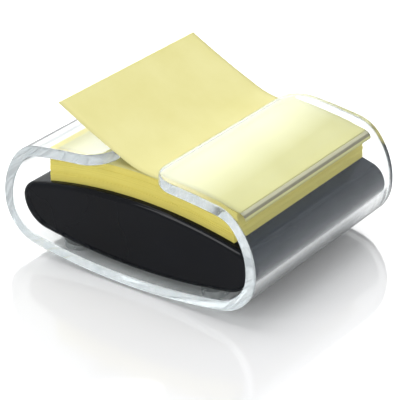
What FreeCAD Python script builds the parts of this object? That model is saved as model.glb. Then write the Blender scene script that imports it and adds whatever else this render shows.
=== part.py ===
"""Pop-up note holder: a clear sleeve on feet, with a weighted drawer that carries an arched pad of notes.

Millimetres. X runs along the front, Y from the front to the rear, and Z up. The origin lies under the middle
of the sleeve, on the surface that its feet stand on. The drawer slides out of the front, along -Y.
"""

import FreeCAD
import Part
import math
import os

# Sleeve
sleeve_width = 103.4
sleeve_height = 43.8
sleeve_depth = 85.4
sleeve_wall = 3.8
crown_radius = 230.0
floor_radius = 225.0
side_share = 0.594
upper_corner_share = 0.3105
lower_corner_share = 0.356
widest_share = 0.443
slot_width = 19.4
lip_corner_radius = 9.5
lip_edge_share = 0.4

# Feet under the sleeve
foot_radius = 5.0
foot_edge = 0.3
foot_side_setback = 22.7
foot_end_setback = 11.7
foot_bond = 0.08
floor_clearance = 0.6

# Notes, and the room that the sleeve and the drawer leave round them
sheet_thickness = 0.12
sheet_gap = 0.06
pad_thickness = 9.6
pad_seat_gap = 0.06
pad_top_room = 0.94
pad_side_room = 9.8
pad_edge_room = 0.57
pad_front_setback = 2.7
pad_rear_setback = 0.8
pad_side_shift = 1.2
lifted_length = 12.0
lifted_overhang = 1.2
curl_length = 2.9
curl_angle_deg = 80.0
leaving_share = 0.72
bend_angle_deg = 21.5
flap_lip_gap = 1.1
flap_radius = 360.0
flap_split_gap = 0.12

# Drawer
slide_clearance = 0.4
front_recess = 4.3
rear_recess = 1.4
shoulder_share = 0.238
panel_edge_radius = 1.8
rear_edge_radius = 0.8
shell_wall = 2.4
cover_thickness = 2.0
parting_gap = 0.35
mouth_border = 8.5

# Screws and their bosses
boss_radius = 3.6
boss_gap = 0.1
boss_end_setback = 8.85
cup_wall = 1.4
cup_setback = 2.5
seat_thickness = 1.6
head_radius = 2.8
head_height = 1.9
head_recess = 1.5
head_clearance = 0.3
shank_radius = 1.25
shank_clearance = 0.1
shank_tip_setback = 3.0
pilot_overrun = 1.5
hole_clearance = 0.4
drive_radius = 1.1
drive_depth = 1.0

# Weight, its foam and the ribs that hold them
weight_side_gap = 1.0
weight_end_setback = 9.85
weight_corner = 3.0
weight_edge = 0.8
foam_thickness = 2.2
foam_setback = 1.0
seat_rib_height = 1.2
hold_rib_height = 2.0
rib_thickness = 2.0
rib_pitch_share = 0.4
hold_rib_pitch_share = 0.53
locator_gap = 0.4
locator_thickness = 1.5
locator_height = 4.0

# Overrun of the cutting shapes, and how near counts as the same place
overrun = 2.0
match_tolerance = 0.05

# The sleeve's places
half_width = sleeve_width / 2
half_depth = sleeve_depth / 2
side_radius = sleeve_height * side_share
upper_corner_radius = sleeve_height * upper_corner_share
lower_corner_radius = sleeve_height * lower_corner_share
lip_edge_radius = sleeve_wall * lip_edge_share
floor_z = floor_clearance
top_z = floor_z + sleeve_height
widest_z = floor_z + sleeve_height * widest_share
floor_centre_z = floor_z + floor_radius
crown_centre_z = top_z - crown_radius


def corner_centre(arc_radius, arc_centre_z, corner_radius):
    """Centre of the right-hand corner arc, tangent to a crown or floor arc and to the side arc."""
    arc_reach = arc_radius - corner_radius
    side_reach = side_radius - corner_radius
    dx = half_width - side_radius
    dz = widest_z - arc_centre_z
    span = math.hypot(dx, dz)
    ux, uz = dx / span, dz / span
    inward = (arc_reach**2 - side_reach**2 + span**2) / (2 * span)
    across = math.sqrt(arc_reach**2 - inward**2)
    turn = math.copysign(across, -uz)
    return inward * ux - turn * uz, arc_centre_z + inward * uz + turn * ux


def crown_height_at(inset, x):
    """Height of the section's top, drawn in by inset, at the place x, on its crown or its corner."""
    corner_x, corner_z = corner_centre(crown_radius, crown_centre_z, upper_corner_radius)
    if x < corner_x * (crown_radius - inset) / (crown_radius - upper_corner_radius):
        return crown_centre_z + math.sqrt((crown_radius - inset) ** 2 - x**2)
    return corner_z + math.sqrt((upper_corner_radius - inset) ** 2 - (x - corner_x) ** 2)


# The drawer's and the notes' sizes and places, from the sleeve that they fit
drawer_inset = sleeve_wall + slide_clearance
drawer_front = -half_depth + front_recess
drawer_rear = half_depth - rear_recess
drawer_middle = (drawer_front + drawer_rear) / 2
drawer_half_depth = (drawer_rear - drawer_front) / 2
note_width = sleeve_width - 2 * (sleeve_wall + pad_side_room)
note_depth = 2 * drawer_half_depth - pad_front_setback - pad_rear_setback
pad_front = drawer_front + pad_front_setback
pad_top_z = top_z - sleeve_wall - pad_top_room
lifted_x = note_width / 2 + pad_side_shift + lifted_overhang
pad_sag = pad_top_z - crown_height_at(sleeve_wall, lifted_x) + pad_edge_room
pad_top_radius = (pad_sag**2 + (note_width / 2) ** 2) / (2 * pad_sag)
pad_bottom_radius = pad_top_radius - pad_thickness
arch_radius = pad_bottom_radius - pad_seat_gap
arch_z = pad_top_z - pad_thickness - pad_seat_gap
arch_centre_z = arch_z - arch_radius
base_height = arch_z - floor_z - drawer_inset
pad_middle_radius = (pad_bottom_radius + pad_top_radius) / 2
pad_half_width = pad_middle_radius * math.sin(note_width / 2 / pad_middle_radius)
pad_left = pad_side_shift - pad_half_width
pad_right = pad_side_shift + pad_half_width
next_note_radius = pad_top_radius + sheet_gap + sheet_thickness / 2
popped_note_radius = next_note_radius + sheet_thickness + sheet_gap


def arch_height_at(radius, x):
    """Height of the arch at the given radius about its centre, over the place x."""
    return arch_centre_z + math.sqrt(radius**2 - x**2)


def floor_height_at(inset, x):
    """Height of the section's floor, drawn in by inset, at the place x."""
    return floor_centre_z - math.sqrt((floor_radius - inset) ** 2 - x**2)


# Places inside the drawer, from its floor, its roof and the screws
mouth_half_width = half_width - drawer_inset - mouth_border
cup_radius = head_radius + head_clearance + cup_wall
boss_x = mouth_half_width - cup_setback - cup_radius
boss_y = drawer_half_depth - boss_end_setback
seat_z = floor_height_at(drawer_inset, boss_x) + head_recess + head_height
cup_top_z = seat_z + seat_thickness
shank_top_z = arch_height_at(arch_radius - shell_wall, boss_x) - shank_tip_setback
weight_half_x = boss_x - cup_radius - weight_side_gap
weight_half_y = drawer_half_depth - weight_end_setback
weight_z = floor_height_at(drawer_inset + cover_thickness, weight_half_x) + seat_rib_height
foam_top_z = arch_height_at(arch_radius - shell_wall, weight_half_x) - hold_rib_height
weight_top_z = foam_top_z - foam_thickness

up = FreeCAD.Vector(0, 0, 1)
along = FreeCAD.Vector(0, 1, 0)


def point(x, z, y=0.0):
    """A point from its place in the section, X and Z, and its depth."""
    return FreeCAD.Vector(x, y, z)


def unit(dx, dz):
    """The direction (dx, dz) at unit length."""
    length = math.hypot(dx, dz)
    return dx / length, dz / length


def box(x0, x1, y0, y1, z0, z1):
    """A box between two corners."""
    return Part.makeBox(x1 - x0, y1 - y0, z1 - z0, FreeCAD.Vector(x0, y0, z0))


def post(x, y, z0, z1, radius):
    """An upright cylinder from z0 to z1."""
    return Part.makeCylinder(radius, z1 - z0, FreeCAD.Vector(x, y, z0), up)


def section_arcs(inset):
    """The section's right-hand arcs, drawn in by inset, as (start, middle, end) from floor to crown."""
    side_x = half_width - side_radius
    low = corner_centre(floor_radius, floor_centre_z, lower_corner_radius)
    high = corner_centre(crown_radius, crown_centre_z, upper_corner_radius)
    from_floor = unit(low[0], low[1] - floor_centre_z)
    from_side_low = unit(low[0] - side_x, low[1] - widest_z)
    from_side_high = unit(high[0] - side_x, high[1] - widest_z)
    from_crown = unit(high[0], high[1] - crown_centre_z)

    def reach(centre, radius, way):
        return centre[0] + (radius - inset) * way[0], centre[1] + (radius - inset) * way[1]

    floor_end = reach((0, floor_centre_z), floor_radius, from_floor)
    side_start = reach((side_x, widest_z), side_radius, from_side_low)
    side_end = reach((side_x, widest_z), side_radius, from_side_high)
    crown_start = reach((0, crown_centre_z), crown_radius, from_crown)
    side_way = unit(from_side_low[0] + from_side_high[0], from_side_low[1] + from_side_high[1])
    low_way = unit(from_floor[0] + from_side_low[0], from_floor[1] + from_side_low[1])
    high_way = unit(from_crown[0] + from_side_high[0], from_crown[1] + from_side_high[1])
    return [
        (floor_end, reach(low, lower_corner_radius, low_way), side_start),
        (side_start, reach((side_x, widest_z), side_radius, side_way), side_end),
        (side_end, reach(high, upper_corner_radius, high_way), crown_start),
    ]


def section_prism(inset, y0, y1):
    """The section, drawn in by inset, run from y0 to y1."""
    right = section_arcs(inset)
    left = [tuple((-x, z) for x, z in reversed(arc)) for arc in reversed(right)]
    crown = (right[-1][-1], (0, top_z - inset), left[0][0])
    floor = (left[-1][-1], (0, floor_z + inset), right[0][0])
    edges = []
    for arc in right + [crown] + left + [floor]:
        edges.append(Part.Arc(*(point(x, z, y0) for x, z in arc)).toShape())
    face = Part.Face(Part.Wire(edges))
    return face.extrude(along * (y1 - y0))


def arch_prism(radius, y0, y1):
    """The round bar, along Y, whose top is the drawer's arch at the given radius about the arch's centre."""
    bar = Part.makeCylinder(radius, y1 - y0, point(0, arch_centre_z, y0), along)
    bar.rotate(point(0, arch_centre_z, y0), along, 180.0)
    return bar


def sharp_edges(shape, least_turn_deg=25.0):
    """Edges of a solid where its faces meet at more than a slight turn."""
    found = []
    for edge in shape.Edges:
        faces = shape.ancestorsOfType(edge, Part.Face)
        if len(faces) != 2:
            continue
        middle = edge.valueAt((edge.FirstParameter + edge.LastParameter) / 2)
        normals = []
        for face in faces:
            u, v = face.Surface.parameter(middle)
            normals.append(face.Surface.normal(u, v))
        turn = math.degrees(normals[0].getAngle(normals[1]))
        if least_turn_deg < turn < 180.0 - least_turn_deg:
            found.append(edge)
    return found


def edges_at(shape, y):
    """Edges that lie in the plane at depth y."""
    found = []
    for edge in shape.Edges:
        bounds = edge.BoundBox
        if abs(bounds.YMin - y) < match_tolerance and abs(bounds.YMax - y) < match_tolerance:
            found.append(edge)
    return found


def slot_tool():
    """The slot through the sleeve's top, which flares at both ends round the lips' corners."""
    edge_x = slot_width / 2
    flare_x = edge_x + lip_corner_radius
    straight_y = half_depth - lip_corner_radius
    lean = lip_corner_radius * (1 - math.sqrt(1 / 2))
    outer_y = half_depth + overrun
    right = [
        Part.LineSegment(point(flare_x, top_z, -outer_y), point(flare_x, top_z, -half_depth)),
        Part.Arc(
            point(flare_x, top_z, -half_depth),
            point(edge_x + lean, top_z, -half_depth + lean),
            point(edge_x, top_z, -straight_y),
        ),
        Part.LineSegment(point(edge_x, top_z, -straight_y), point(edge_x, top_z, straight_y)),
        Part.Arc(
            point(edge_x, top_z, straight_y),
            point(edge_x + lean, top_z, half_depth - lean),
            point(flare_x, top_z, half_depth),
        ),
        Part.LineSegment(point(flare_x, top_z, half_depth), point(flare_x, top_z, outer_y)),
    ]
    edges = [curve.toShape() for curve in right]
    left = [edge.mirror(FreeCAD.Vector(), FreeCAD.Vector(1, 0, 0)) for edge in edges]
    closing = [
        Part.makeLine(point(flare_x, top_z, outer_y), point(-flare_x, top_z, outer_y)),
        Part.makeLine(point(-flare_x, top_z, -outer_y), point(flare_x, top_z, -outer_y)),
    ]
    wire = Part.Wire(Part.__sortEdges__(edges + left + closing))
    face = Part.Face(wire)
    face.translate(up * overrun)
    return face.extrude(-up * (sleeve_height / 2))


def make_sleeve():
    """The clear band with its slot, and every cut edge rounded over."""
    tube = section_prism(0.0, -half_depth, half_depth)
    tube = tube.cut(section_prism(sleeve_wall, -half_depth - overrun, half_depth + overrun))
    tube = tube.cut(slot_tool())
    return tube.makeFillet(lip_edge_radius, sharp_edges(tube))


def make_foot(side, end):
    """One non-slip foot, cut on top to the sleeve's floor that it is stuck to."""
    x = side * (half_width - foot_side_setback)
    y = end * (half_depth - foot_end_setback)
    foot = post(x, y, 0.0, widest_z, foot_radius)
    foot = foot.cut(section_prism(-foot_bond, -half_depth, half_depth))
    rim = [edge for edge in foot.Edges if edge.BoundBox.ZMax < match_tolerance]
    return foot.makeChamfer(foot_edge, rim)


def drawer_body():
    """The drawer's whole outside: the section drawn in, under the arch, with shoulders and ends rounded."""
    body = section_prism(drawer_inset, drawer_front, drawer_rear)
    body = body.common(arch_prism(arch_radius, drawer_front - overrun, drawer_rear + overrun))
    shoulders = [edge for edge in sharp_edges(body) if edge.BoundBox.YLength > note_depth / 2]
    body = body.makeFillet(base_height * shoulder_share, shoulders)
    body = body.makeFillet(panel_edge_radius, edges_at(body, drawer_front))
    return body.makeFillet(rear_edge_radius, edges_at(body, drawer_rear))


def boss_places():
    """Plan places of the four screws."""
    places = []
    for side in (-1, 1):
        for end in (-1, 1):
            places.append((side * boss_x, drawer_middle + end * boss_y))
    return places


def rib_across(y, half_length, z0, z1):
    """One rib along X, between two heights."""
    return box(-half_length, half_length, y - rib_thickness / 2, y + rib_thickness / 2, z0, z1)


def mouth(gap):
    """The opening in the drawer's bottom, drawn in by gap on each side."""
    half_x = mouth_half_width - gap
    y0 = drawer_front + shell_wall + gap
    y1 = drawer_rear - shell_wall - gap
    return box(-half_x, half_x, y0, y1, 0.0, cup_top_z)


def make_shell(body):
    """The drawer's moulding: arched platform, front panel, walls, bosses and ribs, open underneath."""
    y0 = drawer_front + shell_wall
    y1 = drawer_rear - shell_wall
    hollow = section_prism(drawer_inset + shell_wall, y0, y1)
    hollow = hollow.common(arch_prism(arch_radius - shell_wall, y0, y1))
    shell = body.cut(hollow).cut(mouth(0.0))
    roof = arch_prism(arch_radius - shell_wall / 2, drawer_front, drawer_rear)
    for x, y in boss_places():
        boss = post(x, y, cup_top_z + boss_gap, arch_z, boss_radius).common(roof)
        pilot = post(x, y, cup_top_z, shank_top_z + pilot_overrun, shank_radius + shank_clearance)
        shell = shell.fuse(boss).cut(pilot)
    rib_half = weight_half_x - foam_setback
    rib_y = weight_half_y * hold_rib_pitch_share
    for end in (-1, 1):
        rib = rib_across(drawer_middle + end * rib_y, rib_half, foam_top_z, arch_z)
        shell = shell.fuse(rib.common(roof))
    return shell.removeSplitter()


def make_cover(body):
    """The drawer's bottom cover: a curved plate with screw cups, and ribs that seat and locate the weight."""
    cover = body.cut(section_prism(drawer_inset + cover_thickness, -half_depth, half_depth))
    cover = cover.common(mouth(parting_gap))
    extras = [post(x, y, 0.0, cup_top_z, cup_radius) for x, y in boss_places()]
    rib_pitch = 2 * weight_half_y * rib_pitch_share
    for step in (-1, 0, 1):
        extras.append(rib_across(drawer_middle + step * rib_pitch, weight_half_x, 0.0, weight_z))
    locator_top = weight_z + locator_height
    for side in (-1, 1):
        x = side * (weight_half_x + locator_gap + locator_thickness / 2)
        x0, x1 = x - locator_thickness / 2, x + locator_thickness / 2
        y0, y1 = drawer_middle - rib_pitch / 2, drawer_middle + rib_pitch / 2
        extras.append(box(x0, x1, y0, y1, 0.0, locator_top))
        y = drawer_middle + side * (weight_half_y + locator_gap + locator_thickness / 2)
        y0, y1 = y - locator_thickness / 2, y + locator_thickness / 2
        extras.append(box(-rib_pitch / 2, rib_pitch / 2, y0, y1, 0.0, locator_top))
    for extra in extras:
        cover = cover.fuse(extra.common(body))
    for x, y in boss_places():
        cover = cover.cut(post(x, y, 0.0, seat_z, head_radius + head_clearance))
        cover = cover.cut(post(x, y, 0.0, cup_top_z + overrun, shank_radius + hole_clearance))
    return cover.removeSplitter()


def make_screws():
    """The four cover screws: round heads with a drive recess, in one group."""
    screws = []
    for x, y in boss_places():
        head = post(x, y, seat_z - head_height, seat_z, head_radius)
        rim = [edge for edge in head.Edges if edge.BoundBox.ZMax < seat_z - head_height / 2]
        head = head.makeFillet(head_height / 2, [edge for edge in rim if edge.BoundBox.XLength > head_radius])
        head = head.cut(post(x, y, 0.0, seat_z - head_height + drive_depth, drive_radius))
        screws.append(head.fuse(post(x, y, seat_z, shank_top_z, shank_radius)).removeSplitter())
    return Part.Compound(screws)


def make_weight():
    """The steel block, with rounded corners and broken edges."""
    y0, y1 = drawer_middle - weight_half_y, drawer_middle + weight_half_y
    block = box(-weight_half_x, weight_half_x, y0, y1, weight_z, weight_top_z)
    upright = [edge for edge in block.Edges if edge.BoundBox.ZLength > match_tolerance]
    block = block.makeFillet(weight_corner, upright)
    return block.makeChamfer(weight_edge, sharp_edges(block))


def make_foam():
    """The foam sheet between the weight and the shell's ribs."""
    half_x = weight_half_x - foam_setback
    half_y = weight_half_y - foam_setback
    return box(-half_x, half_x, drawer_middle - half_y, drawer_middle + half_y, weight_top_z, foam_top_z)


def make_pad():
    """The stack of notes, bent over the drawer's arch, with upright sides."""
    lower, upper = pad_bottom_radius, pad_top_radius
    bottom = Part.Arc(
        point(pad_left, arch_height_at(lower, pad_left), pad_front),
        point(0, arch_centre_z + lower, pad_front),
        point(pad_right, arch_height_at(lower, pad_right), pad_front),
    ).toShape()
    top = Part.Arc(
        point(pad_right, arch_height_at(upper, pad_right), pad_front),
        point(0, arch_centre_z + upper, pad_front),
        point(pad_left, arch_height_at(upper, pad_left), pad_front),
    ).toShape()
    right = Part.makeLine(bottom.Vertexes[-1].Point, top.Vertexes[0].Point)
    left = Part.makeLine(top.Vertexes[-1].Point, bottom.Vertexes[0].Point)
    face = Part.Face(Part.Wire([bottom, right, top, left]))
    return face.extrude(along * note_depth)


def run_point(run, share):
    """Place and heading part way along a run: (x, z, heading), for a run of (x, z, heading, length, turn)."""
    x, z, heading, length, turn = run
    turned = turn * share
    chord = length * share
    if turn:
        radius = length / turn
        chord = 2 * radius * math.sin(turned / 2)
    way = heading + turned / 2
    return x + chord * math.cos(way), z + chord * math.sin(way), heading + turned


def make_sheet(start, runs):
    """A sheet of paper whose middle follows runs of (length, turn) from start, (x, z, heading)."""
    sides = {1: [], -1: []}
    place = start
    for length, turn in runs:
        run = (*place, length, turn)
        for side, edges in sides.items():
            shift = side * sheet_thickness / 2
            marks = []
            for share in (0.0, 1 / 2, 1.0):
                x, z, heading = run_point(run, share)
                marks.append(point(x - shift * math.sin(heading), z + shift * math.cos(heading), pad_front))
            if turn:
                edges.append(Part.Arc(*marks).toShape())
            else:
                edges.append(Part.makeLine(marks[0], marks[-1]))
        place = run_point(run, 1.0)
    caps = []
    for end in (0, -1):
        caps.append(Part.makeLine(sides[1][end].Vertexes[end].Point, sides[-1][end].Vertexes[end].Point))
    wire = Part.Wire(Part.__sortEdges__(sides[1] + sides[-1] + caps))
    return Part.Face(wire).extrude(along * note_depth)


def lifted_end(radius):
    """Start of a sheet at its lifted right edge, heading down onto the pad, and where it meets the radius."""
    angle = math.asin((pad_right + lifted_overhang) / radius) - lifted_length / radius
    x = radius * math.sin(angle) + lifted_length * math.cos(angle)
    z = arch_centre_z + radius * math.cos(angle) - lifted_length * math.sin(angle)
    return (x, z, math.pi - angle), angle


def make_next_note():
    """The sheet on top of the pad: curled down past the pad's right edge, lifted there, then flat on the pad."""
    (x, z, heading), angle = lifted_end(next_note_radius)
    curl = math.radians(curl_angle_deg)
    chord = 2 * curl_length / curl * math.sin(curl / 2)
    way = heading - curl / 2
    start = (x - chord * math.cos(way), z - chord * math.sin(way), heading - curl)
    covered = note_width - curl_length - lifted_length
    runs = [(curl_length, curl), (lifted_length, 0.0), (covered, covered / next_note_radius)]
    return make_sheet(start, runs)


def bend_radius(leaving):
    """Radius of the popped note's bend, from its slope on leaving the pad, so that it clears the left lip."""
    bend = math.radians(bend_angle_deg)
    slope = leaving + bend
    lip_x = -slot_width / 2 - lip_edge_radius
    lip_z = crown_height_at(lip_edge_radius, -lip_x)
    across = popped_note_radius * math.sin(leaving) - lip_x
    below = arch_centre_z + popped_note_radius * math.cos(leaving) - lip_z
    room = across * math.sin(slope) + below * math.cos(slope)
    return (room - lip_edge_radius - flap_lip_gap - sheet_thickness / 2) / (1 - math.cos(bend))


def popped_note_runs():
    """Start of the popped note, its tail's runs on the pad, and its flap's runs through the slot and up."""
    start, angle = lifted_end(popped_note_radius)
    leaving = math.asin(slot_width / 2 * leaving_share / popped_note_radius)
    covered = popped_note_radius * (angle - leaving)
    bend = math.radians(bend_angle_deg)
    bend_length = bend_radius(leaving) * bend
    free = note_width - lifted_length - covered - bend_length
    tail = [(lifted_length, 0.0), (covered, covered / popped_note_radius)]
    flap = [(bend_length, -bend), (free, -free / flap_radius)]
    return start, tail, flap


def follow(start, runs):
    """The place at the end of a row of runs."""
    place = start
    for length, turn in runs:
        place = run_point((*place, length, turn), 1.0)
    return place


def make_popped_tail():
    """The part of the popped note that lies on the pad, under the right lip."""
    start, tail, flap = popped_note_runs()
    length, turn = tail[-1]
    kept = 1 - flap_split_gap / length
    return make_sheet(start, [tail[0], (length * kept, turn * kept)])


def make_popped_flap():
    """The part of the popped note that leaves the pad and stands up out of the slot."""
    start, tail, flap = popped_note_runs()
    return make_sheet(follow(start, tail), flap)


def build():
    """Every piece of the holder, by name."""
    body = drawer_body()
    parts = {
        "clear_sleeve": make_sleeve(),
        "drawer_shell": make_shell(body),
        "bottom_cover": make_cover(body),
        "cover_screws": make_screws(),
        "steel_weight": make_weight(),
        "weight_foam": make_foam(),
        "note_pad": make_pad(),
        "next_note": make_next_note(),
        "popped_note_tail": make_popped_tail(),
        "popped_note_flap": make_popped_flap(),
    }
    for end, end_name in ((-1, "front"), (1, "rear")):
        for side, side_name in ((-1, "left"), (1, "right")):
            parts[f"foot_{end_name}_{side_name}"] = make_foot(side, end)
    return parts


def main():
    """Build the pieces, test that each is a sound solid, and write one file for each."""
    os.makedirs("parts", exist_ok=True)
    for name, shape in build().items():
        if not shape.isValid() or not shape.Solids:
            raise ValueError(name + " is not a sound solid")
        shape.exportStep(os.path.join("parts", name + ".step"))
        print(name, len(shape.Solids), "solids", round(shape.Volume, 1))
    start, tail, flap = popped_note_runs()
    print("flap leaves the pad at", [round(value, 3) for value in follow(start, tail)[:2]])


if __name__ == "__main__":
    main()
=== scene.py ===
"""Looks of a note holder: a clear sleeve, a black drawer in it, an arched pad, and one note standing up."""

from __future__ import annotations

import logging
import math
import random
from dataclasses import dataclass, field
from enum import Enum
from typing import Callable, Iterable

import bmesh
import bpy
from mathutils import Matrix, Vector


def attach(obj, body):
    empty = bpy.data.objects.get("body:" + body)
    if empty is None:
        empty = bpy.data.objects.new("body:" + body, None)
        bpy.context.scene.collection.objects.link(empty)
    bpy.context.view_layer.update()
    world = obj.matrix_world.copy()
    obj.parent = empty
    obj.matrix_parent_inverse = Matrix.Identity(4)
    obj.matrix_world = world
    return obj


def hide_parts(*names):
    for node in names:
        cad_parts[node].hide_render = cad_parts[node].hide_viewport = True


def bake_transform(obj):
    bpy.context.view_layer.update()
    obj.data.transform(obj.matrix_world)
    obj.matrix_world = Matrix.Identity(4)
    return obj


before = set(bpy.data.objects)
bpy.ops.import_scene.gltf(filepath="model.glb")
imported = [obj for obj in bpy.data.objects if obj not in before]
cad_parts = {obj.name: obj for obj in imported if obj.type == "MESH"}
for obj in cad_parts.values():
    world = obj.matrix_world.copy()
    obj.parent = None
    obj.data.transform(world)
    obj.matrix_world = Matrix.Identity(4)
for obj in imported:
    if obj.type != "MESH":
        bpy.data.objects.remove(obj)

log = logging.getLogger("note_holder")
Colour = tuple[float, float, float]
Place = tuple[float, float, float]
Range = tuple[float, float]

# Most of a noise's values lie in this range
NOISE_RANGE = (0.3, 0.7)

# Places of a Mix node's share, numbers and colours in its inputs, and of the mixed colour in its outputs
MIX_SHARE = 0
MIX_NUMBERS = (2, 3)
MIX_COLOURS = (6, 7)
MIXED_COLOUR = 2

# Index of refraction of the clear plastics
CLEAR_IOR = 1.36

# A stretch that turns by less than this, in radians, is straight
STRAIGHT_TURN = 1e-9

# Profile of a bevel that is a true arc
ROUND_PROFILE = 0.5


class Body(Enum):
    """Bodies of the frame that pieces ride on."""

    SLEEVE = "sleeve"
    DRAWER = "drawer"
    FLAP = "popped_flap"


class Slot(Enum):
    """Material slots of the record."""

    SLEEVE = "sleeve"
    PAD = "pad"
    NOTE = "note"


class Grain(Enum):
    """How a noise pattern is drawn out, as its scale along X, Y and Z."""

    EVEN = (1.0, 1.0, 1.0)
    ALONG_DEPTH = (1.0, 0.06, 1.0)
    ACROSS = (0.05, 1.0, 1.0)


class Calculation(Enum):
    """Calculations that give one number, as the type of their node and its operation."""

    SUM = ("ShaderNodeMath", "ADD")
    PRODUCT = ("ShaderNodeMath", "MULTIPLY")
    LARGER = ("ShaderNodeMath", "MAXIMUM")
    BELOW = ("ShaderNodeMath", "LESS_THAN")
    ALIGNMENT = ("ShaderNodeVectorMath", "DOT_PRODUCT")
    LENGTH = ("ShaderNodeVectorMath", "LENGTH")


@dataclass(frozen=True)
class Pattern:
    """A noise pattern: its waves per metre, its octaves of finer noise, and how it is drawn out."""

    scale: float
    detail: float = 2.0
    grain: Grain = Grain.EVEN


@dataclass(frozen=True)
class Relief:
    """How far a pattern stands out: its depth in metres, and the strength of its effect."""

    depth: float
    strength: float


class NodeTree:
    """Node tree that is built anew, with short calls for the nodes that the materials and the world use."""

    def __init__(self, tree: bpy.types.NodeTree) -> None:
        """Empty the tree.

        Args:
            tree: Tree of a new material or world.
        """
        self.nodes = tree.nodes
        self.links = tree.links
        self.nodes.clear()

    def add(self, kind: str, **inputs: object) -> bpy.types.Node:
        """Add a node and set or link its inputs.

        Args:
            kind: The node's type name.
            inputs: Values or sockets by input name, with _ for a space.

        Returns:
            The new node.
        """
        node = self.nodes.new(kind)
        for name, value in inputs.items():
            self.feed(node.inputs[name.replace("_", " ")], value)
        return node

    def feed(self, socket: bpy.types.NodeSocket, value: object) -> None:
        """Link a socket to another one, or set its own value.

        Args:
            socket: Input socket.
            value: An output socket, or a plain value.
        """
        if isinstance(value, bpy.types.NodeSocket):
            self.links.new(value, socket)
        else:
            socket.default_value = value

    def work_out(self, calculation: Calculation, *values: object) -> bpy.types.NodeSocket:
        """Work out a number.

        Args:
            calculation: What is worked out.
            values: Numbers, vectors or sockets that it is worked out from.

        Returns:
            The number's socket.
        """
        kind, operation = calculation.value
        node = self.nodes.new(kind)
        node.operation = operation
        for socket, value in zip(node.inputs, values):
            self.feed(socket, value)
        return node.outputs["Value"]

    def ramp(
        self, source: bpy.types.NodeSocket, start: float, end: float, low: float = 0.0, high: float = 1.0
    ) -> bpy.types.NodeSocket:
        """Map one range of values onto another, held at both ends.

        Args:
            source: Value socket.
            start: Value where the range begins.
            end: Value where it ends.
            low: Result at the start.
            high: Result at the end.

        Returns:
            The result's socket.
        """
        node = self.add("ShaderNodeMapRange", Value=source, From_Min=start, From_Max=end)
        self.feed(node.inputs["To Min"], low)
        self.feed(node.inputs["To Max"], high)
        return node.outputs[0]

    def mix(self, share: object, first: object, second: object) -> bpy.types.NodeSocket:
        """Mix two numbers.

        Args:
            share: Share of the second number.
            first: Number or socket.
            second: Number or socket.

        Returns:
            The mixed number's socket.
        """
        node = self.nodes.new("ShaderNodeMix")
        for index, value in zip((MIX_SHARE, *MIX_NUMBERS), (share, first, second)):
            self.feed(node.inputs[index], value)
        return node.outputs[0]


class ShaderTree(NodeTree):
    """Node tree of one new material, with patterns on Object coordinates."""

    def __init__(self, name: str) -> None:
        """Start an empty tree.

        Args:
            name: Name of the material.
        """
        self.material = bpy.data.materials.new(name)
        self.material.use_nodes = True
        super().__init__(self.material.node_tree)
        self.output = self.nodes.new("ShaderNodeOutputMaterial")
        self.place = self.nodes.new("ShaderNodeTexCoord").outputs["Object"]

    def noise(self, pattern: Pattern) -> bpy.types.NodeSocket:
        """A noise on Object coordinates.

        Args:
            pattern: What the noise looks like.

        Returns:
            The noise's value socket, about 0 to 1.
        """
        stretched = self.add("ShaderNodeMapping", Vector=self.place, Scale=pattern.grain.value)
        node = self.add(
            "ShaderNodeTexNoise", Vector=stretched.outputs[0], Scale=pattern.scale, Detail=pattern.detail
        )
        return node.outputs[0]

    def spread(
        self, source: bpy.types.NodeSocket, low: float = 0.0, high: float = 1.0
    ) -> bpy.types.NodeSocket:
        """Stretch the middle of a noise over a range of values.

        Args:
            source: Value socket, about 0 to 1.
            low: Value at the noise's low end.
            high: Value at its high end.

        Returns:
            The stretched value.
        """
        return self.ramp(source, *NOISE_RANGE, low, high)

    def between(self, share: bpy.types.NodeSocket, first: object, second: object) -> bpy.types.NodeSocket:
        """Mix two colours.

        Args:
            share: Share of the second colour.
            first: Colour or socket.
            second: Colour or socket.

        Returns:
            The mixed colour.
        """
        node = self.nodes.new("ShaderNodeMix")
        node.data_type = "RGBA"
        self.feed(node.inputs[MIX_SHARE], share)
        for index, value in zip(MIX_COLOURS, (first, second)):
            linked = isinstance(value, bpy.types.NodeSocket)
            self.feed(node.inputs[index], value if linked else (*value, 1.0))
        return node.outputs[MIXED_COLOUR]

    def bump(self, height: bpy.types.NodeSocket, relief: Relief) -> bpy.types.NodeSocket:
        """A bumped normal.

        Args:
            height: Height pattern, 0 to 1.
            relief: How far it stands out.

        Returns:
            The normal's socket.
        """
        node = self.add("ShaderNodeBump", Height=height, Distance=relief.depth, Strength=relief.strength)
        return node.outputs[0]

    def lamp_lit(self, glass: bpy.types.Node, shadow: Colour) -> bpy.types.NodeSocket:
        """Let lamp light through a clear shader.

        Args:
            glass: The clear shader, for all other light.
            shadow: The share of lamp light that gets through.

        Returns:
            The mixed shader's output.
        """
        through = self.add("ShaderNodeBsdfTransparent", Color=(*shadow, 1.0))
        path = self.nodes.new("ShaderNodeLightPath")
        mixed = self.nodes.new("ShaderNodeMixShader")
        self.links.new(path.outputs["Is Shadow Ray"], mixed.inputs[0])
        self.links.new(glass.outputs[0], mixed.inputs[1])
        self.links.new(through.outputs[0], mixed.inputs[2])
        return mixed.outputs[0]

    def finish(self, shader: bpy.types.NodeSocket) -> bpy.types.Material:
        """Link the last shader and hand over the material.

        Args:
            shader: Shader socket to show.

        Returns:
            The finished material.
        """
        self.links.new(shader, self.output.inputs["Surface"])
        return self.material


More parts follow.
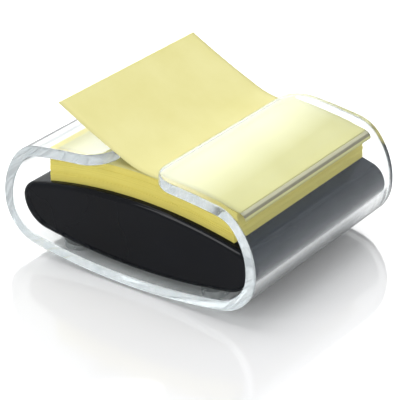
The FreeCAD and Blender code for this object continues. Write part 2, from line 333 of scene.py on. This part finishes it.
@dataclass(frozen=True)
class ClearPlastic:
    """Thick polished clear plastic, which lets lamp light through to what it holds.

    It darkens to the rim's colour where it turns away, over rim_turn, and its index of refraction falls in
    the thin outline, over outline_turn. Both are ranges from 0, which faces the viewer, to 1, seen edge on.
    """

    name: str = "clear_plastic"
    tint: Colour = (0.965, 0.985, 0.985)
    deep_tint: Colour = (0.945, 0.972, 0.976)
    drift: Pattern = Pattern(34.0)
    handling: Pattern = Pattern(160.0, 4.0)
    polish: Range = (0.003, 0.012)
    relief: Relief = Relief(0.00001, 0.05)
    ior: float = CLEAR_IOR
    rim: Colour = (0.06, 0.065, 0.07)
    rim_turn: Range = (0.7, 0.88)
    outline_ior: float = 1.03
    outline_turn: Range = (0.84, 0.94)
    veil: Colour = (0.5, 0.65, 0.85)
    shadow: Colour = (0.79, 0.81, 0.8)

    def material(self) -> bpy.types.Material:
        """Build the material: polished, with a faint drift of tint and marks of handling in its polish.

        Returns:
            The material.
        """
        tree = ShaderTree(self.name)
        drift = tree.noise(self.drift)
        handled = tree.noise(self.handling)
        facing = tree.add("ShaderNodeLayerWeight").outputs["Facing"]
        body = tree.between(tree.spread(drift), self.tint, self.deep_tint)
        glass = tree.add(
            "ShaderNodeBsdfPrincipled",
            Base_Color=tree.between(tree.ramp(facing, *self.rim_turn), body, self.rim),
            Roughness=tree.spread(handled, *self.polish),
            IOR=tree.ramp(facing, *self.outline_turn, self.ior, self.outline_ior),
            Transmission_Weight=1.0,
            Specular_Tint=(*self.veil, 1.0),
            Normal=tree.bump(drift, self.relief),
        )
        return tree.finish(tree.lamp_lit(glass, self.shadow))


@dataclass(frozen=True)
class CutEdge:
    """Cut and rounded edges of the clear plastic, which gather light and look a little milky."""

    name: str = "cut_edge"
    bright: Colour = (0.84, 0.885, 0.9)
    grey: Colour = (0.6, 0.68, 0.71)
    streaks: Pattern = Pattern(190.0, 4.0)
    polish: Range = (0.05, 0.2)
    relief: Relief = Relief(0.0001, 0.06)
    ior: float = CLEAR_IOR
    clearness: float = 0.95

    def material(self) -> bpy.types.Material:
        """Build the material: nearly clear, with streaks in its tint and its polish.

        Returns:
            The material.
        """
        tree = ShaderTree(self.name)
        streaks = tree.noise(self.streaks)
        shader = tree.add(
            "ShaderNodeBsdfPrincipled",
            Base_Color=tree.between(tree.spread(streaks), self.grey, self.bright),
            Roughness=tree.spread(streaks, *self.polish),
            IOR=self.ior,
            Transmission_Weight=self.clearness,
            Normal=tree.bump(streaks, self.relief),
        )
        return tree.finish(shader.outputs[0])


@dataclass(frozen=True)
class SoftRubber:
    """Soft, half clear plastic of the stick-on feet."""

    name: str = "foot_rubber"
    pale: Colour = (0.9, 0.92, 0.93)
    dusty: Colour = (0.78, 0.8, 0.81)
    dust: Pattern = Pattern(420.0, 5.0)
    polish: Range = (0.1, 0.3)
    relief: Relief = Relief(0.00002, 0.2)
    ior: float = CLEAR_IOR
    clearness: float = 0.55

    def material(self) -> bpy.types.Material:
        """Build the material: soft and half clear, with dust in its grain.

        Returns:
            The material.
        """
        tree = ShaderTree(self.name)
        dust = tree.noise(self.dust)
        shader = tree.add(
            "ShaderNodeBsdfPrincipled",
            Base_Color=tree.between(tree.spread(dust), self.pale, self.dusty),
            Roughness=tree.spread(dust, *self.polish),
            IOR=self.ior,
            Transmission_Weight=self.clearness,
            Normal=tree.bump(dust, self.relief),
        )
        return tree.finish(tree.lamp_lit(shader, self.pale))


@dataclass(frozen=True)
class MouldedPlastic:
    """Black moulded plastic, glossy or matt."""

    name: str
    deep: Colour
    worn: Colour
    polish: Range
    shine: float
    grain: Pattern
    relief: Relief
    drift: Pattern = Pattern(26.0, 3.0)
    ior: float = 1.46

    def material(self) -> bpy.types.Material:
        """Build the material: a slow drift of colour, and a fine grain in its polish.

        Returns:
            The material.
        """
        tree = ShaderTree(self.name)
        drift = tree.noise(self.drift)
        grain = tree.noise(self.grain)
        shader = tree.add(
            "ShaderNodeBsdfPrincipled",
            Base_Color=tree.between(tree.spread(drift), self.deep, self.worn),
            Roughness=tree.spread(grain, *self.polish),
            IOR=self.ior,
            Specular_IOR_Level=self.shine,
            Normal=tree.bump(grain, self.relief),
        )
        return tree.finish(shader.outputs[0])


@dataclass(frozen=True)
class Steel:
    """Bare or plated steel."""

    name: str
    bright: Colour
    dull: Colour
    polish: Range
    streaks: Pattern
    relief: Relief = Relief(0.00003, 0.5)

    def material(self) -> bpy.types.Material:
        """Build the material: metal with streaks in its colour and polish.

        Returns:
            The material.
        """
        tree = ShaderTree(self.name)
        streaks = tree.noise(self.streaks)
        shader = tree.add(
            "ShaderNodeBsdfPrincipled",
            Base_Color=tree.between(tree.spread(streaks), self.bright, self.dull),
            Metallic=1.0,
            Roughness=tree.spread(streaks, *self.polish),
            Normal=tree.bump(streaks, self.relief),
        )
        return tree.finish(shader.outputs[0])


@dataclass(frozen=True)
class CellFoam:
    """Dark closed-cell foam."""

    name: str = "cell_foam"
    skin: Colour = (0.028, 0.028, 0.031)
    # Painted shade in the hollows of the cells
    pit_shade: Colour = (0.011, 0.011, 0.012)
    cells_per_metre: float = 2000.0
    polish: Range = (0.85, 0.95)
    relief: Relief = Relief(0.0002, 0.7)

    def material(self) -> bpy.types.Material:
        """Build the material: cells about half a millimetre across, with painted shade in their hollows.

        Returns:
            The material.
        """
        tree = ShaderTree(self.name)
        pattern = tree.add("ShaderNodeTexVoronoi", Vector=tree.place, Scale=self.cells_per_metre)
        cells = pattern.outputs["Distance"]
        shader = tree.add(
            "ShaderNodeBsdfPrincipled",
            Base_Color=tree.between(cells, self.pit_shade, self.skin),
            Roughness=tree.spread(cells, *self.polish),
            Normal=tree.bump(cells, self.relief),
        )
        return tree.finish(shader.outputs[0])


@dataclass(frozen=True)
class NotePaper:
    """Yellow note paper, with soft fibres and a slight cloudiness."""

    name: str = "note_paper"
    pale: Colour = (0.8, 0.755, 0.36)
    warm: Colour = (0.76, 0.71, 0.31)
    cloud: Pattern = Pattern(70.0, 4.0)
    fibres: Pattern = Pattern(2600.0, 5.0, Grain.ALONG_DEPTH)
    polish: Range = (0.72, 0.92)
    shine: float = 0.15
    relief: Relief = Relief(0.00004, 0.35)

    def colour(self, tree: ShaderTree) -> bpy.types.NodeSocket:
        """The paper's cloudy colour.

        Args:
            tree: Tree of the material.

        Returns:
            The colour's socket.
        """
        return tree.between(tree.spread(tree.noise(self.cloud)), self.pale, self.warm)

    def material(self) -> bpy.types.Material:
        """Build the material: cloudy colour with a fine fibre bump.

        Returns:
            The material.
        """
        tree = ShaderTree(self.name)
        fibres = tree.noise(self.fibres)
        shader = tree.add(
            "ShaderNodeBsdfPrincipled",
            Base_Color=self.colour(tree),
            Roughness=tree.spread(fibres, *self.polish),
            Specular_IOR_Level=self.shine,
            Normal=tree.bump(fibres, self.relief),
        )
        return tree.finish(shader.outputs[0])


@dataclass(frozen=True)
class ShadedCurlPaper(NotePaper):
    """Note paper with painted shade on its curled edge, in a lighter and a deeper tone."""

    name: str = "curl_paper_painted_shade"
    shade_x: float = 0.0402
    # Painted shade on the curled edge: dull is its lighter tone, the next colour its deeper tone
    dull: Colour = (0.62, 0.58, 0.4)
    deep_shade: Colour = (0.28, 0.25, 0.16)
    deep_shade_z: float = 0.0354
    unshaded_z: float = 0.0347
    blur: float = 0.0002

    def colour(self, tree: ShaderTree) -> bpy.types.NodeSocket:
        """The paper's colour, with painted shade in two tones on the curl, and plain paper in a line along
        its edge.

        Args:
            tree: Tree of the material.

        Returns:
            The colour's socket.
        """
        place = tree.add("ShaderNodeSeparateXYZ", Vector=tree.place).outputs
        # Painted shade covers the sheet past this X, where it curls down
        shaded_curl = tree.ramp(place["X"], self.shade_x, self.shade_x + self.blur)
        darker = tree.ramp(place["Z"], self.deep_shade_z, self.deep_shade_z - self.blur)
        unshaded = tree.ramp(place["Z"], self.unshaded_z, self.unshaded_z - self.blur)
        paper = super().colour(tree)
        strip = tree.between(unshaded, tree.between(darker, self.dull, self.deep_shade), paper)
        return tree.between(shaded_curl, paper, strip)


@dataclass(frozen=True)
class PaperEdges:
    """Cut edges of a bent stack of paper: fine lines of painted shade that follow the arch's centre."""

    name: str = "pad_edges"
    centre_z: float = -0.142
    sheet: float = 0.00024
    line_detail: float = 3.0
    lit: Colour = (0.93, 0.82, 0.21)
    # Painted shade between the sheets, against the lit colour above
    gap_shade: Colour = (0.82, 0.7, 0.15)
    cloud: Pattern = Pattern(120.0, 3.0)
    cloud_share: float = 0.35
    polish: Range = (0.8, 0.95)
    shine: float = 0.25
    relief: Relief = Relief(0.00005, 0.5)

    def lines(self, tree: ShaderTree) -> bpy.types.NodeSocket:
        """A noise that changes only from sheet to sheet, with the distance from the arch's centre.

        Args:
            tree: Tree of the material.

        Returns:
            The noise's value socket, about 0 to 1.
        """
        flat = tree.add(
            "ShaderNodeMapping",
            Vector=tree.place,
            Location=(0.0, 0.0, -self.centre_z),
            Scale=(1.0, 0.0, 1.0),
        )
        noise = tree.nodes.new("ShaderNodeTexNoise")
        noise.noise_dimensions = "1D"
        tree.feed(noise.inputs["W"], tree.work_out(Calculation.LENGTH, flat.outputs[0]))
        tree.feed(noise.inputs["Scale"], 1.0 / self.sheet)
        tree.feed(noise.inputs["Detail"], self.line_detail)
        return noise.outputs[0]

    def material(self) -> bpy.types.Material:
        """Build the material: a line of painted shade for every few sheets, uneven in strength along the
        stack.

        Returns:
            The material.
        """
        tree = ShaderTree(self.name)
        stack = self.lines(tree)
        lines = tree.spread(stack)
        cloud = tree.spread(tree.noise(self.cloud), high=self.cloud_share)
        shader = tree.add(
            "ShaderNodeBsdfPrincipled",
            Base_Color=tree.between(cloud, tree.between(lines, self.gap_shade, self.lit), self.lit),
            Roughness=tree.spread(stack, *self.polish),
            Specular_IOR_Level=self.shine,
            Normal=tree.bump(lines, self.relief),
        )
        return tree.finish(shader.outputs[0])


@dataclass(frozen=True)
class PaleFloor:
    """Pale, faintly glossy floor."""

    name: str = "pale_floor"
    pale: Colour = (0.9, 0.9, 0.91)
    grey: Colour = (0.88, 0.885, 0.895)
    drift: Pattern = Pattern(3.0)
    polish: Range = (0.06, 0.1)
    shine: float = 0.5

    def material(self) -> bpy.types.Material:
        """Build the material, with a slight unevenness.

        Returns:
            The material.
        """
        tree = ShaderTree(self.name)
        drift = tree.noise(self.drift)
        shader = tree.add(
            "ShaderNodeBsdfPrincipled",
            Base_Color=tree.between(drift, self.pale, self.grey),
            Roughness=tree.spread(drift, *self.polish),
            Specular_IOR_Level=self.shine,
        )
        return tree.finish(shader.outputs[0])


def dress(nodes: Iterable[str], material: bpy.types.Material) -> None:
    """Put a material on nodes that keep their CAD shape.

    Args:
        nodes: Names of the nodes.
        material: The material to show.
    """
    for name in nodes:
        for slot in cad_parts[name].material_slots:
            slot.material = material
        log.info("%s: %s", name, material.name)


def new_piece(
    name: str, form: bmesh.types.BMesh, material: bpy.types.Material, smooth: bool = True
) -> bpy.types.Object:
    """Make an object at the origin from a finished form.

    Args:
        name: The piece's name.
        form: Its mesh, which is freed here.
        material: Its material.
        smooth: Whether its faces are smooth shaded.

    Returns:
        The new object.
    """
    mesh = bpy.data.meshes.new(name)
    for face in form.faces:
        face.smooth = smooth
    form.to_mesh(mesh)
    form.free()
    piece = bpy.data.objects.new(name, mesh)
    piece.data.materials.append(material)
    bpy.context.collection.objects.link(piece)
    log.info("%s: %d faces", name, len(mesh.polygons))
    return piece


def slice_along(form: bmesh.types.BMesh, length: float, steps: int) -> None:
    """Cut a flat form's faces into equal steps along X, so that it can bend.

    Args:
        form: The form, with its middle at X = 0.
        length: Its length along X.
        steps: Number of steps.
    """
    for step in range(1, steps):
        place = length * (step / steps - 0.5)
        everything = form.verts[:] + form.edges[:] + form.faces[:]
        bmesh.ops.bisect_plane(form, geom=everything, plane_co=(place, 0.0, 0.0), plane_no=(1.0, 0.0, 0.0))


def reshape(form: bmesh.types.BMesh, move: Callable[[Vector], Place]) -> None:
    """Move each point of a form by a rule.

    Args:
        form: The form to reshape.
        move: Gives a point's new place from its old one.
    """
    for point in form.verts:
        point.co = move(point.co)


@dataclass(frozen=True)
class Run:
    """One stretch of a profile: its length, and how far it turns to the left over it, in radians."""

    length: float
    turn: float = 0.0


@dataclass(frozen=True)
class Profile:
    """A side view as a row of straight and round stretches from a starting place and heading."""

    x: float
    z: float
    heading: float
    runs: tuple[Run, ...]

    def at(self, way: float) -> tuple[float, float, float]:
        """Place and heading at a distance along the profile.

        Args:
            way: Distance from the start, in metres.

        Returns:
            X, Z and the heading in radians.
        """
        x, z, heading = self.x, self.z, self.heading
        for index, run in enumerate(self.runs):
            last = index == len(self.runs) - 1
            step = way if last else min(way, run.length)
            turned = run.turn * step / run.length
            chord = step if abs(turned) < STRAIGHT_TURN else 2 * step / turned * math.sin(turned / 2)
            x += chord * math.cos(heading + turned / 2)
            z += chord * math.sin(heading + turned / 2)
            heading += turned
            way -= step
            if way <= 0.0:
                break
        return x, z, heading


@dataclass
class Section:
    """The sleeve's outline from the front: crown, corners, sides and floor, alike on the left and the right.

    The shares are of its height: the radii of the sides and corners, and the level at which it is widest.
    """

    half_width: float = 0.0517
    height: float = 0.0438
    lift: float = 0.0006
    crown_radius: float = 0.23
    floor_radius: float = 0.225
    side_share: float = 0.594
    upper_corner_share: float = 0.3105
    lower_corner_share: float = 0.356
    widest_share: float = 0.443

    @property
    def side(self) -> float:
        """Radius of the side."""
        return self.height * self.side_share

    @property
    def side_centre(self) -> Vector:
        """Centre of the right side, as X and Z."""
        return Vector((self.half_width - self.side, self.lift + self.height * self.widest_share))

    def corner(self, arc: float, arc_z: float, corner: float) -> Vector:
        """Centre of the right-hand corner between a crown or floor arc and the side.

        Args:
            arc: Radius of the crown or the floor.
            arc_z: Height of its centre.
            corner: Radius of the corner.

        Returns:
            The centre, as X and Z.
        """
        span = self.side_centre - Vector((0.0, arc_z))
        inward = ((arc - corner) ** 2 - (self.side - corner) ** 2 + span.length**2) / (2 * span.length)
        across = math.copysign(math.sqrt((arc - corner) ** 2 - inward**2), -span.y)
        way = span.normalized()
        return Vector((0.0, arc_z)) + way * inward + Vector((-way.y, way.x)) * across

    def profile(self) -> Profile:
        """The outline as one closed row of arcs, clockwise from the middle of the crown.

        Returns:
            The profile.
        """
        middle = self.side_centre
        upper, lower = self.height * self.upper_corner_share, self.height * self.lower_corner_share
        crown_z = self.lift + self.height - self.crown_radius
        floor_z = self.lift + self.floor_radius
        high = self.corner(self.crown_radius, crown_z, upper)
        low = self.corner(self.floor_radius, floor_z, lower)
        crown = math.atan2(high.x, high.y - crown_z)
        shoulder = math.atan2(high.x - middle.x, high.y - middle.y)
        hip = math.atan2(low.x - middle.x, low.y - middle.y)
        floor = math.atan2(low.x, low.y - floor_z)
        turns = [
            (self.crown_radius, crown),
            (upper, shoulder - crown),
            (self.side, hip - shoulder),
            (lower, floor - hip),
            (self.floor_radius, math.pi - floor),
        ]
        runs = [Run(radius * turn, -turn) for radius, turn in turns]
        return Profile(0.0, self.lift + self.height, 0.0, tuple(runs + runs[::-1]))


@dataclass
class Sleeve:
    """The clear band, cut open along its top, and its four stick-on feet."""

    section: Section = field(default_factory=Section)
    depth: float = 0.0854
    wall: float = 0.0038
    slot: float = 0.0194
    lip_corner: float = 0.0095
    corner_segments: int = 14
    edge_round: float = 0.0006
    round_segments: int = 5
    support: float = 0.0004
    steps: int = 210
    feet: tuple[str, ...] = ("foot_front_left", "foot_front_right", "foot_rear_left", "foot_rear_right")
    plastic: ClearPlastic = field(default_factory=ClearPlastic)
    cut: CutEdge = field(default_factory=CutEdge)
    rubber: SoftRubber = field(default_factory=SoftRubber)

    def plate(self, length: float) -> bmesh.types.BMesh:
        """The band laid flat: a plate with rounded corners and edges, its edges in the second material.

        Args:
            length: Length of the plate along X.

        Returns:
            The plate, with its upper face at Z = 0.
        """
        form = bmesh.new()
        # A square of 1 m, scaled to the plate's length and depth
        bmesh.ops.create_grid(form, x_segments=1, y_segments=1, size=0.5)
        bmesh.ops.scale(form, vec=(length, self.depth, 1.0), verts=form.verts)
        bmesh.ops.bevel(
            form,
            geom=form.verts[:],
            offset=self.lip_corner,
            affect="VERTICES",
            segments=self.corner_segments,
            profile=ROUND_PROFILE,
            material=-1,
        )
        made = bmesh.ops.extrude_face_region(form, geom=form.faces[:])
        sunk = [item for item in made["geom"] if isinstance(item, bmesh.types.BMVert)]
        bmesh.ops.translate(form, vec=(0.0, 0.0, -self.wall), verts=sunk)
        bmesh.ops.recalc_face_normals(form, faces=form.faces)
        rims = [edge for edge in form.edges if abs(edge.verts[0].co.z - edge.verts[1].co.z) < self.wall / 2]
        bmesh.ops.bevel(
            form,
            geom=rims,
            offset=self.edge_round,
            affect="EDGES",
            segments=self.round_segments,
            profile=ROUND_PROFILE,
            material=-1,
        )
        # The two largest faces are the plate's upper and lower side
        flats = sorted(form.faces, key=lambda face: face.calc_area())[-2:]
        for face in form.faces:
            face.material_index = 0 if face in flats else 1
        for face in flats:
            bmesh.ops.inset_region(form, faces=[face], thickness=self.support, use_even_offset=True)
        slice_along(form, length, self.steps)
        return form

    def band(self) -> bpy.types.Object:
        """Build the band: the plate, rolled round the section from one side of the slot to the other.

        Returns:
            The band.
        """
        profile = self.section.profile()
        around = sum(run.length for run in profile.runs)
        form = self.plate(around - self.slot)

        def rolled(place: Vector) -> Place:
            """Where a point of the flat plate comes to lie."""
            x, z, heading = profile.at(place.x + around / 2)
            return x - place.z * math.sin(heading), place.y, z + place.z * math.cos(heading)

        reshape(form, rolled)
        bmesh.ops.recalc_face_normals(form, faces=form.faces)
        band = new_piece("clear_band", form, self.plastic.material())
        band.data.materials.append(self.cut.material())
        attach(band, Body.SLEEVE.value)
        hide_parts("clear_sleeve")
        return band

    def build(self) -> None:
        """Build the band and dress its feet."""
        self.band()
        dress(self.feet, self.rubber.material())


@dataclass
class Drawer:
    """The weighted drawer: gloss shell, matt cover, screws, steel weight and foam."""

    shell: MouldedPlastic = MouldedPlastic(
        name="black_gloss",
        deep=(0.003, 0.0035, 0.005),
        worn=(0.005, 0.006, 0.009),
        polish=(0.05, 0.09),
        shine=0.13,
        grain=Pattern(900.0, 4.0),
        relief=Relief(0.000006, 0.5),
    )
    cover: MouldedPlastic = MouldedPlastic(
        name="black_matt",
        deep=(0.012, 0.012, 0.013),
        worn=(0.02, 0.02, 0.021),
        polish=(0.45, 0.62),
        shine=0.35,
        grain=Pattern(1500.0, 4.0),
        relief=Relief(0.00004, 0.5),
    )
    screws: Steel = Steel(
        name="plated_steel",
        bright=(0.62, 0.63, 0.65),
        dull=(0.46, 0.47, 0.49),
        polish=(0.22, 0.38),
        streaks=Pattern(900.0, 4.0),
    )
    weight: Steel = Steel(
        name="rolled_steel",
        bright=(0.4, 0.4, 0.41),
        dull=(0.24, 0.24, 0.25),
        polish=(0.35, 0.6),
        streaks=Pattern(900.0, 4.0, Grain.ACROSS),
    )
    foam: CellFoam = field(default_factory=CellFoam)

    def build(self) -> None:
        """Dress each piece of the drawer."""
        finishes = {
            "drawer_shell": self.shell,
            "bottom_cover": self.cover,
            "cover_screws": self.screws,
            "steel_weight": self.weight,
            "weight_foam": self.foam,
        }
        for node, finish in finishes.items():
            dress([node], finish.material())


@dataclass
class Arch:
    """The drawer's arched top, with the sizes and places of the notes that lie on it."""

    radius: float = 0.17197
    centre_z: float = -0.14197
    pad_shift: float = 0.0012
    pad_seat: float = 0.00006
    pad_thickness: float = 0.0096
    note: float = 0.0762
    paper: float = 0.00012
    paper_gap: float = 0.00006
    front: float = -0.0357

    @property
    def pad_radius(self) -> float:
        """Radius of the pad's underside."""
        return self.radius + self.pad_seat

    @property
    def pad_middle_y(self) -> float:
        """Depth of the pad's middle."""
        return self.front + self.note / 2

    def sheet_radius(self, index: int) -> float:
        """Radius of the middle of a loose sheet on the pad, counted from 0."""
        lowest = self.pad_radius + self.pad_thickness + self.paper_gap + self.paper / 2
        return lowest + index * (self.paper + self.paper_gap)


@dataclass
class NotePad:
    """The stack of notes, bent over the arch: bundles of leaves that lie a little out of line."""

    arch: Arch
    bundles: int = 24
    steps: int = 56
    slip: float = 0.00012
    groove: float = 0.00003
    seed: int = 11
    edges: PaperEdges = field(default_factory=PaperEdges)

    def bundle(self, form: bmesh.types.BMesh, low: float, high: float, shift: tuple[float, float]) -> None:
        """Add one bundle of leaves to a form, bent over the arch.

        Args:
            form: The form to add to.
            low: Height of its underside over the pad's underside.
            high: Height of its top over the pad's underside.
            shift: How far it lies out of line, along X and Y.
        """
        arch = self.arch
        leaf = bmesh.new()
        bmesh.ops.create_cube(leaf, size=1.0)
        bmesh.ops.scale(leaf, vec=(arch.note, arch.note, high - low), verts=leaf.verts)
        bmesh.ops.translate(leaf, vec=(0.0, arch.pad_middle_y, (low + high) / 2), verts=leaf.verts)
        slice_along(leaf, arch.note, self.steps)

        def bent(place: Vector) -> Place:
            """Bend a point of the flat bundle over the arch.

            Args:
                place: The point's place, with its height over the pad's underside as Z.

            Returns:
                Its place on the arch.
            """
            radius = arch.pad_radius + place.z
            angle = (place.x + arch.pad_shift + shift[0]) / radius
            return radius * math.sin(angle), place.y + shift[1], arch.centre_z + radius * math.cos(angle)

        reshape(leaf, bent)
        mesh = bpy.data.meshes.new("leaf")
        leaf.to_mesh(mesh)
        leaf.free()
        form.from_mesh(mesh)
        bpy.data.meshes.remove(mesh)

    def build(self) -> bpy.types.Object:
        """Build the pad, which rides on the drawer in place of its plain solid.

        Returns:
            The pad.
        """
        slips = random.Random(self.seed)
        form = bmesh.new()
        thickness = self.arch.pad_thickness / self.bundles
        for index in range(self.bundles):
            shift = (slips.uniform(-self.slip, self.slip), slips.uniform(-self.slip, self.slip))
            self.bundle(form, index * thickness + self.groove, (index + 1) * thickness, shift)
        pad = new_piece("pad_of_notes", form, self.edges.material(), smooth=False)
        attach(pad, Body.DRAWER.value)
        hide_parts("note_pad")
        return pad


@dataclass
class LooseNote:
    """One sheet of note paper that follows a profile."""

    name: str
    profile: Profile
    arch: Arch
    along: int = 200
    across: int = 32

    def build(self, material: bpy.types.Material) -> bpy.types.Object:
        """Build the sheet, with its thickness.

        Args:
            material: The paper.

        Returns:
            The sheet.
        """
        arch = self.arch
        form = bmesh.new()
        bmesh.ops.create_grid(form, x_segments=self.along, y_segments=self.across, size=arch.note / 2)

        def laid(place: Vector) -> Place:
            """Where a point of the flat sheet comes to lie."""
            x, z, _ = self.profile.at(place.x + arch.note / 2)
            return x, arch.pad_middle_y + place.y, z

        reshape(form, laid)
        bmesh.ops.recalc_face_normals(form, faces=form.faces)
        bmesh.ops.solidify(form, geom=form.faces[:], thickness=arch.paper)
        sheet = new_piece(self.name, form, material)
        return sheet


@dataclass
class LooseNotes:
    """The two sheets on top of the pad: the next note, and the one that stands up out of the slot."""

    arch: Arch
    lifted: float = 0.012
    overhang: float = 0.0012
    curl_length: float = 0.0029
    curl: float = math.radians(80.0)
    leaving: float = 0.00698
    bend_radius: float = 0.0301
    bend: float = math.radians(21.5)
    free_radius: float = 0.36
    blend_before: float = 0.0015
    blend_after: float = 0.004
    paper: NotePaper = field(default_factory=NotePaper)
    shaded_curl: ShadedCurlPaper = field(default_factory=ShadedCurlPaper)

    def start(self, radius: float) -> tuple[float, float, float, float]:
        """Where a sheet's lifted right edge is.

        Args:
            radius: Radius that the sheet lies at.

        Returns:
            X, Z and heading of the edge, and the angle at which the sheet comes down on the pad.
        """
        half = self.arch.note / 2 / radius
        edge = self.arch.pad_shift / radius + half + self.overhang / radius
        angle = edge - self.lifted / radius
        x = radius * math.sin(angle) + self.lifted * math.cos(angle)
        z = self.arch.centre_z + radius * math.cos(angle) - self.lifted * math.sin(angle)
        return x, z, math.pi - angle, angle

    def next_note(self) -> bpy.types.Object:
        """Build the sheet that lies on the pad and curls down past the pad's right edge.

        Returns:
            The sheet.
        """
        radius = self.arch.sheet_radius(0)
        x, z, heading, _ = self.start(radius)
        chord = 2 * self.curl_length / self.curl * math.sin(self.curl / 2)
        way = heading - self.curl / 2
        covered = self.arch.note - self.curl_length - self.lifted
        runs = (Run(self.curl_length, self.curl), Run(self.lifted), Run(covered, covered / radius))
        profile = Profile(x - chord * math.cos(way), z - chord * math.sin(way), heading - self.curl, runs)
        # The curl of this sheet carries painted shade
        sheet = LooseNote("next_note_sheet", profile, self.arch).build(self.shaded_curl.material())
        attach(sheet, Body.DRAWER.value)
        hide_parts("next_note")
        return sheet

    def popped_note(self) -> bpy.types.Object:
        """Build the sheet that is held under the right lip and stands up out of the slot.

        Returns:
            The sheet.
        """
        radius = self.arch.sheet_radius(1)
        x, z, heading, angle = self.start(radius)
        leaving_angle = math.asin(self.leaving / radius)
        covered = radius * (angle - leaving_angle)
        bend = self.bend_radius * self.bend
        free = self.arch.note - self.lifted - covered - bend
        runs = (
            Run(self.lifted),
            Run(covered, covered / radius),
            Run(bend, -self.bend),
            Run(free, -free / self.free_radius),
        )
        profile = Profile(x, z, heading, runs)
        sheet = LooseNote("popped_note_sheet", profile, self.arch).build(self.paper.material())
        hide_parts("popped_note_tail", "popped_note_flap")
        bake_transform(sheet)
        return sheet

    def build(self) -> None:
        """Build both sheets."""
        self.next_note()
        self.popped_note()


@dataclass(frozen=True)
class SoftBox:
    """A large soft lamp that points at the object, or with gleam_only one that lights no matt surface."""

    name: str
    place: Place
    size: float
    power: float
    gleam_only: bool = False

    def build(self) -> None:
        """Hang the lamp, turned to the object and not seen through the clear plastic."""
        lamp = bpy.data.lights.new(self.name, "AREA")
        lamp.shape = "SQUARE"
        lamp.size = self.size
        lamp.energy = self.power
        holder = bpy.data.objects.new(self.name, lamp)
        holder.location = self.place
        holder.rotation_euler = (-Vector(self.place)).to_track_quat("-Z", "Y").to_euler()
        holder.visible_transmission = False
        holder.visible_diffuse = not self.gleam_only
        bpy.context.collection.objects.link(holder)


@dataclass(frozen=True)
class Glow:
    """A soft round glow in the surroundings: its direction, its level, and cosines for its edge and core."""

    way: Place
    level: float
    edge: float
    core: float


@dataclass
class Studio:
    """Pale floor, white surroundings, soft lamps and the camera."""

    azimuth: float = math.radians(35.6)
    elevation: float = math.radians(26.6)
    distance: float = 0.65
    target: Place = (0.0, 0.0, 0.0206)
    lens: float = 170.1
    shift_y: float = -0.038
    nearest: float = 0.01
    floor_half: float = 3.0
    floor_finish: PaleFloor = field(default_factory=PaleFloor)
    white: float = 1.0
    first_scatter: float = 0.5
    up: Place = (0.0, 0.0, 1.0)
    low_fill: float = 0.2
    high_fill: float = 0.9
    glows: tuple[Glow, ...] = (
        Glow((-0.54, 0.69, 0.48), 6.2, 0.972, 0.996),
        Glow((-0.64, 0.727, 0.19), 1.1, 0.955, 0.99),
    )
    bounces: int = 32
    lamps: tuple[SoftBox, ...] = (
        SoftBox("top_lamp", (-0.2, -0.05, 1.0), 0.7, 3.7),
        SoftBox("front_lamp", (-0.35, -0.85, 0.5), 0.25, 1.2),
        SoftBox("right_lamp", (0.75, -0.3, 0.45), 0.6, 1.3),
        SoftBox("edge_card", (-0.3, -0.64, 0.7), 0.4, 3.6, gleam_only=True),
    )

    def floor(self) -> None:
        """Lay the floor."""
        form = bmesh.new()
        bmesh.ops.create_grid(form, x_segments=1, y_segments=1, size=self.floor_half)
        new_piece("floor", form, self.floor_finish.material())

    def surroundings(self) -> None:
        """White world for what is seen, and for the light a dim studio with soft glows behind the object."""
        world = bpy.data.worlds.new("white_studio")
        world.use_nodes = True
        tree = NodeTree(world.node_tree)
        path = tree.add("ShaderNodeLightPath").outputs
        # The depth counts the matt surfaces that a ray has come from, so it is 0 before the first one
        unscattered = tree.work_out(Calculation.BELOW, path["Diffuse Depth"], self.first_scatter)
        straight = tree.work_out(Calculation.LARGER, path["Is Camera Ray"], path["Is Transmission Ray"])
        seen = tree.work_out(Calculation.PRODUCT, straight, unscattered)
        mirrored = tree.work_out(Calculation.PRODUCT, path["Is Glossy Ray"], unscattered)
        way = tree.add("ShaderNodeTexCoord").outputs["Generated"]
        height = tree.work_out(Calculation.ALIGNMENT, way, self.up)
        light = tree.ramp(height, 0.0, 1.0, self.low_fill, self.high_fill)
        for glow in self.glows:
            nearness = tree.work_out(Calculation.ALIGNMENT, way, Vector(glow.way).normalized())
            added = tree.ramp(nearness, glow.edge, glow.core, 0.0, glow.level)
            light = tree.work_out(Calculation.SUM, light, added)
        strength = tree.work_out(Calculation.LARGER, tree.mix(seen, light, self.white), mirrored)
        sky = tree.add("ShaderNodeBackground", Color=(1.0, 1.0, 1.0, 1.0), Strength=strength)
        tree.add("ShaderNodeOutputWorld", Surface=sky.outputs[0])
        bpy.context.scene.world = world

    def camera(self) -> None:
        """Set the camera at the photograph's viewing angle."""
        data = bpy.data.cameras.new("camera")
        data.lens = self.lens
        data.shift_y = self.shift_y
        data.clip_start = self.nearest
        holder = bpy.data.objects.new("camera", data)
        flat = math.cos(self.elevation)
        x, y = math.sin(self.azimuth) * flat, -math.cos(self.azimuth) * flat
        back = Vector((x, y, math.sin(self.elevation)))
        holder.location = Vector(self.target) + back * self.distance
        holder.rotation_euler = (-back).to_track_quat("-Z", "Y").to_euler()
        bpy.context.collection.objects.link(holder)
        bpy.context.scene.camera = holder

    def build(self) -> None:
        """Build the whole studio."""
        self.floor()
        self.surroundings()
        for lamp in self.lamps:
            lamp.build()
        self.camera()
        bpy.context.scene.view_settings.view_transform = "Standard"
        bpy.context.scene.cycles.max_bounces = self.bounces
        bpy.context.scene.cycles.transmission_bounces = self.bounces
        bpy.context.scene.cycles.glossy_bounces = self.bounces


def main() -> None:
    """Build every piece in order, then the studio round them."""
    logging.basicConfig(level=logging.INFO)
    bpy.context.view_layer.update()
    arch = Arch()
    Sleeve().build()
    Drawer().build()
    NotePad(arch).build()
    LooseNotes(arch).build()
    Studio().build()


if __name__ == "__main__":
    main()
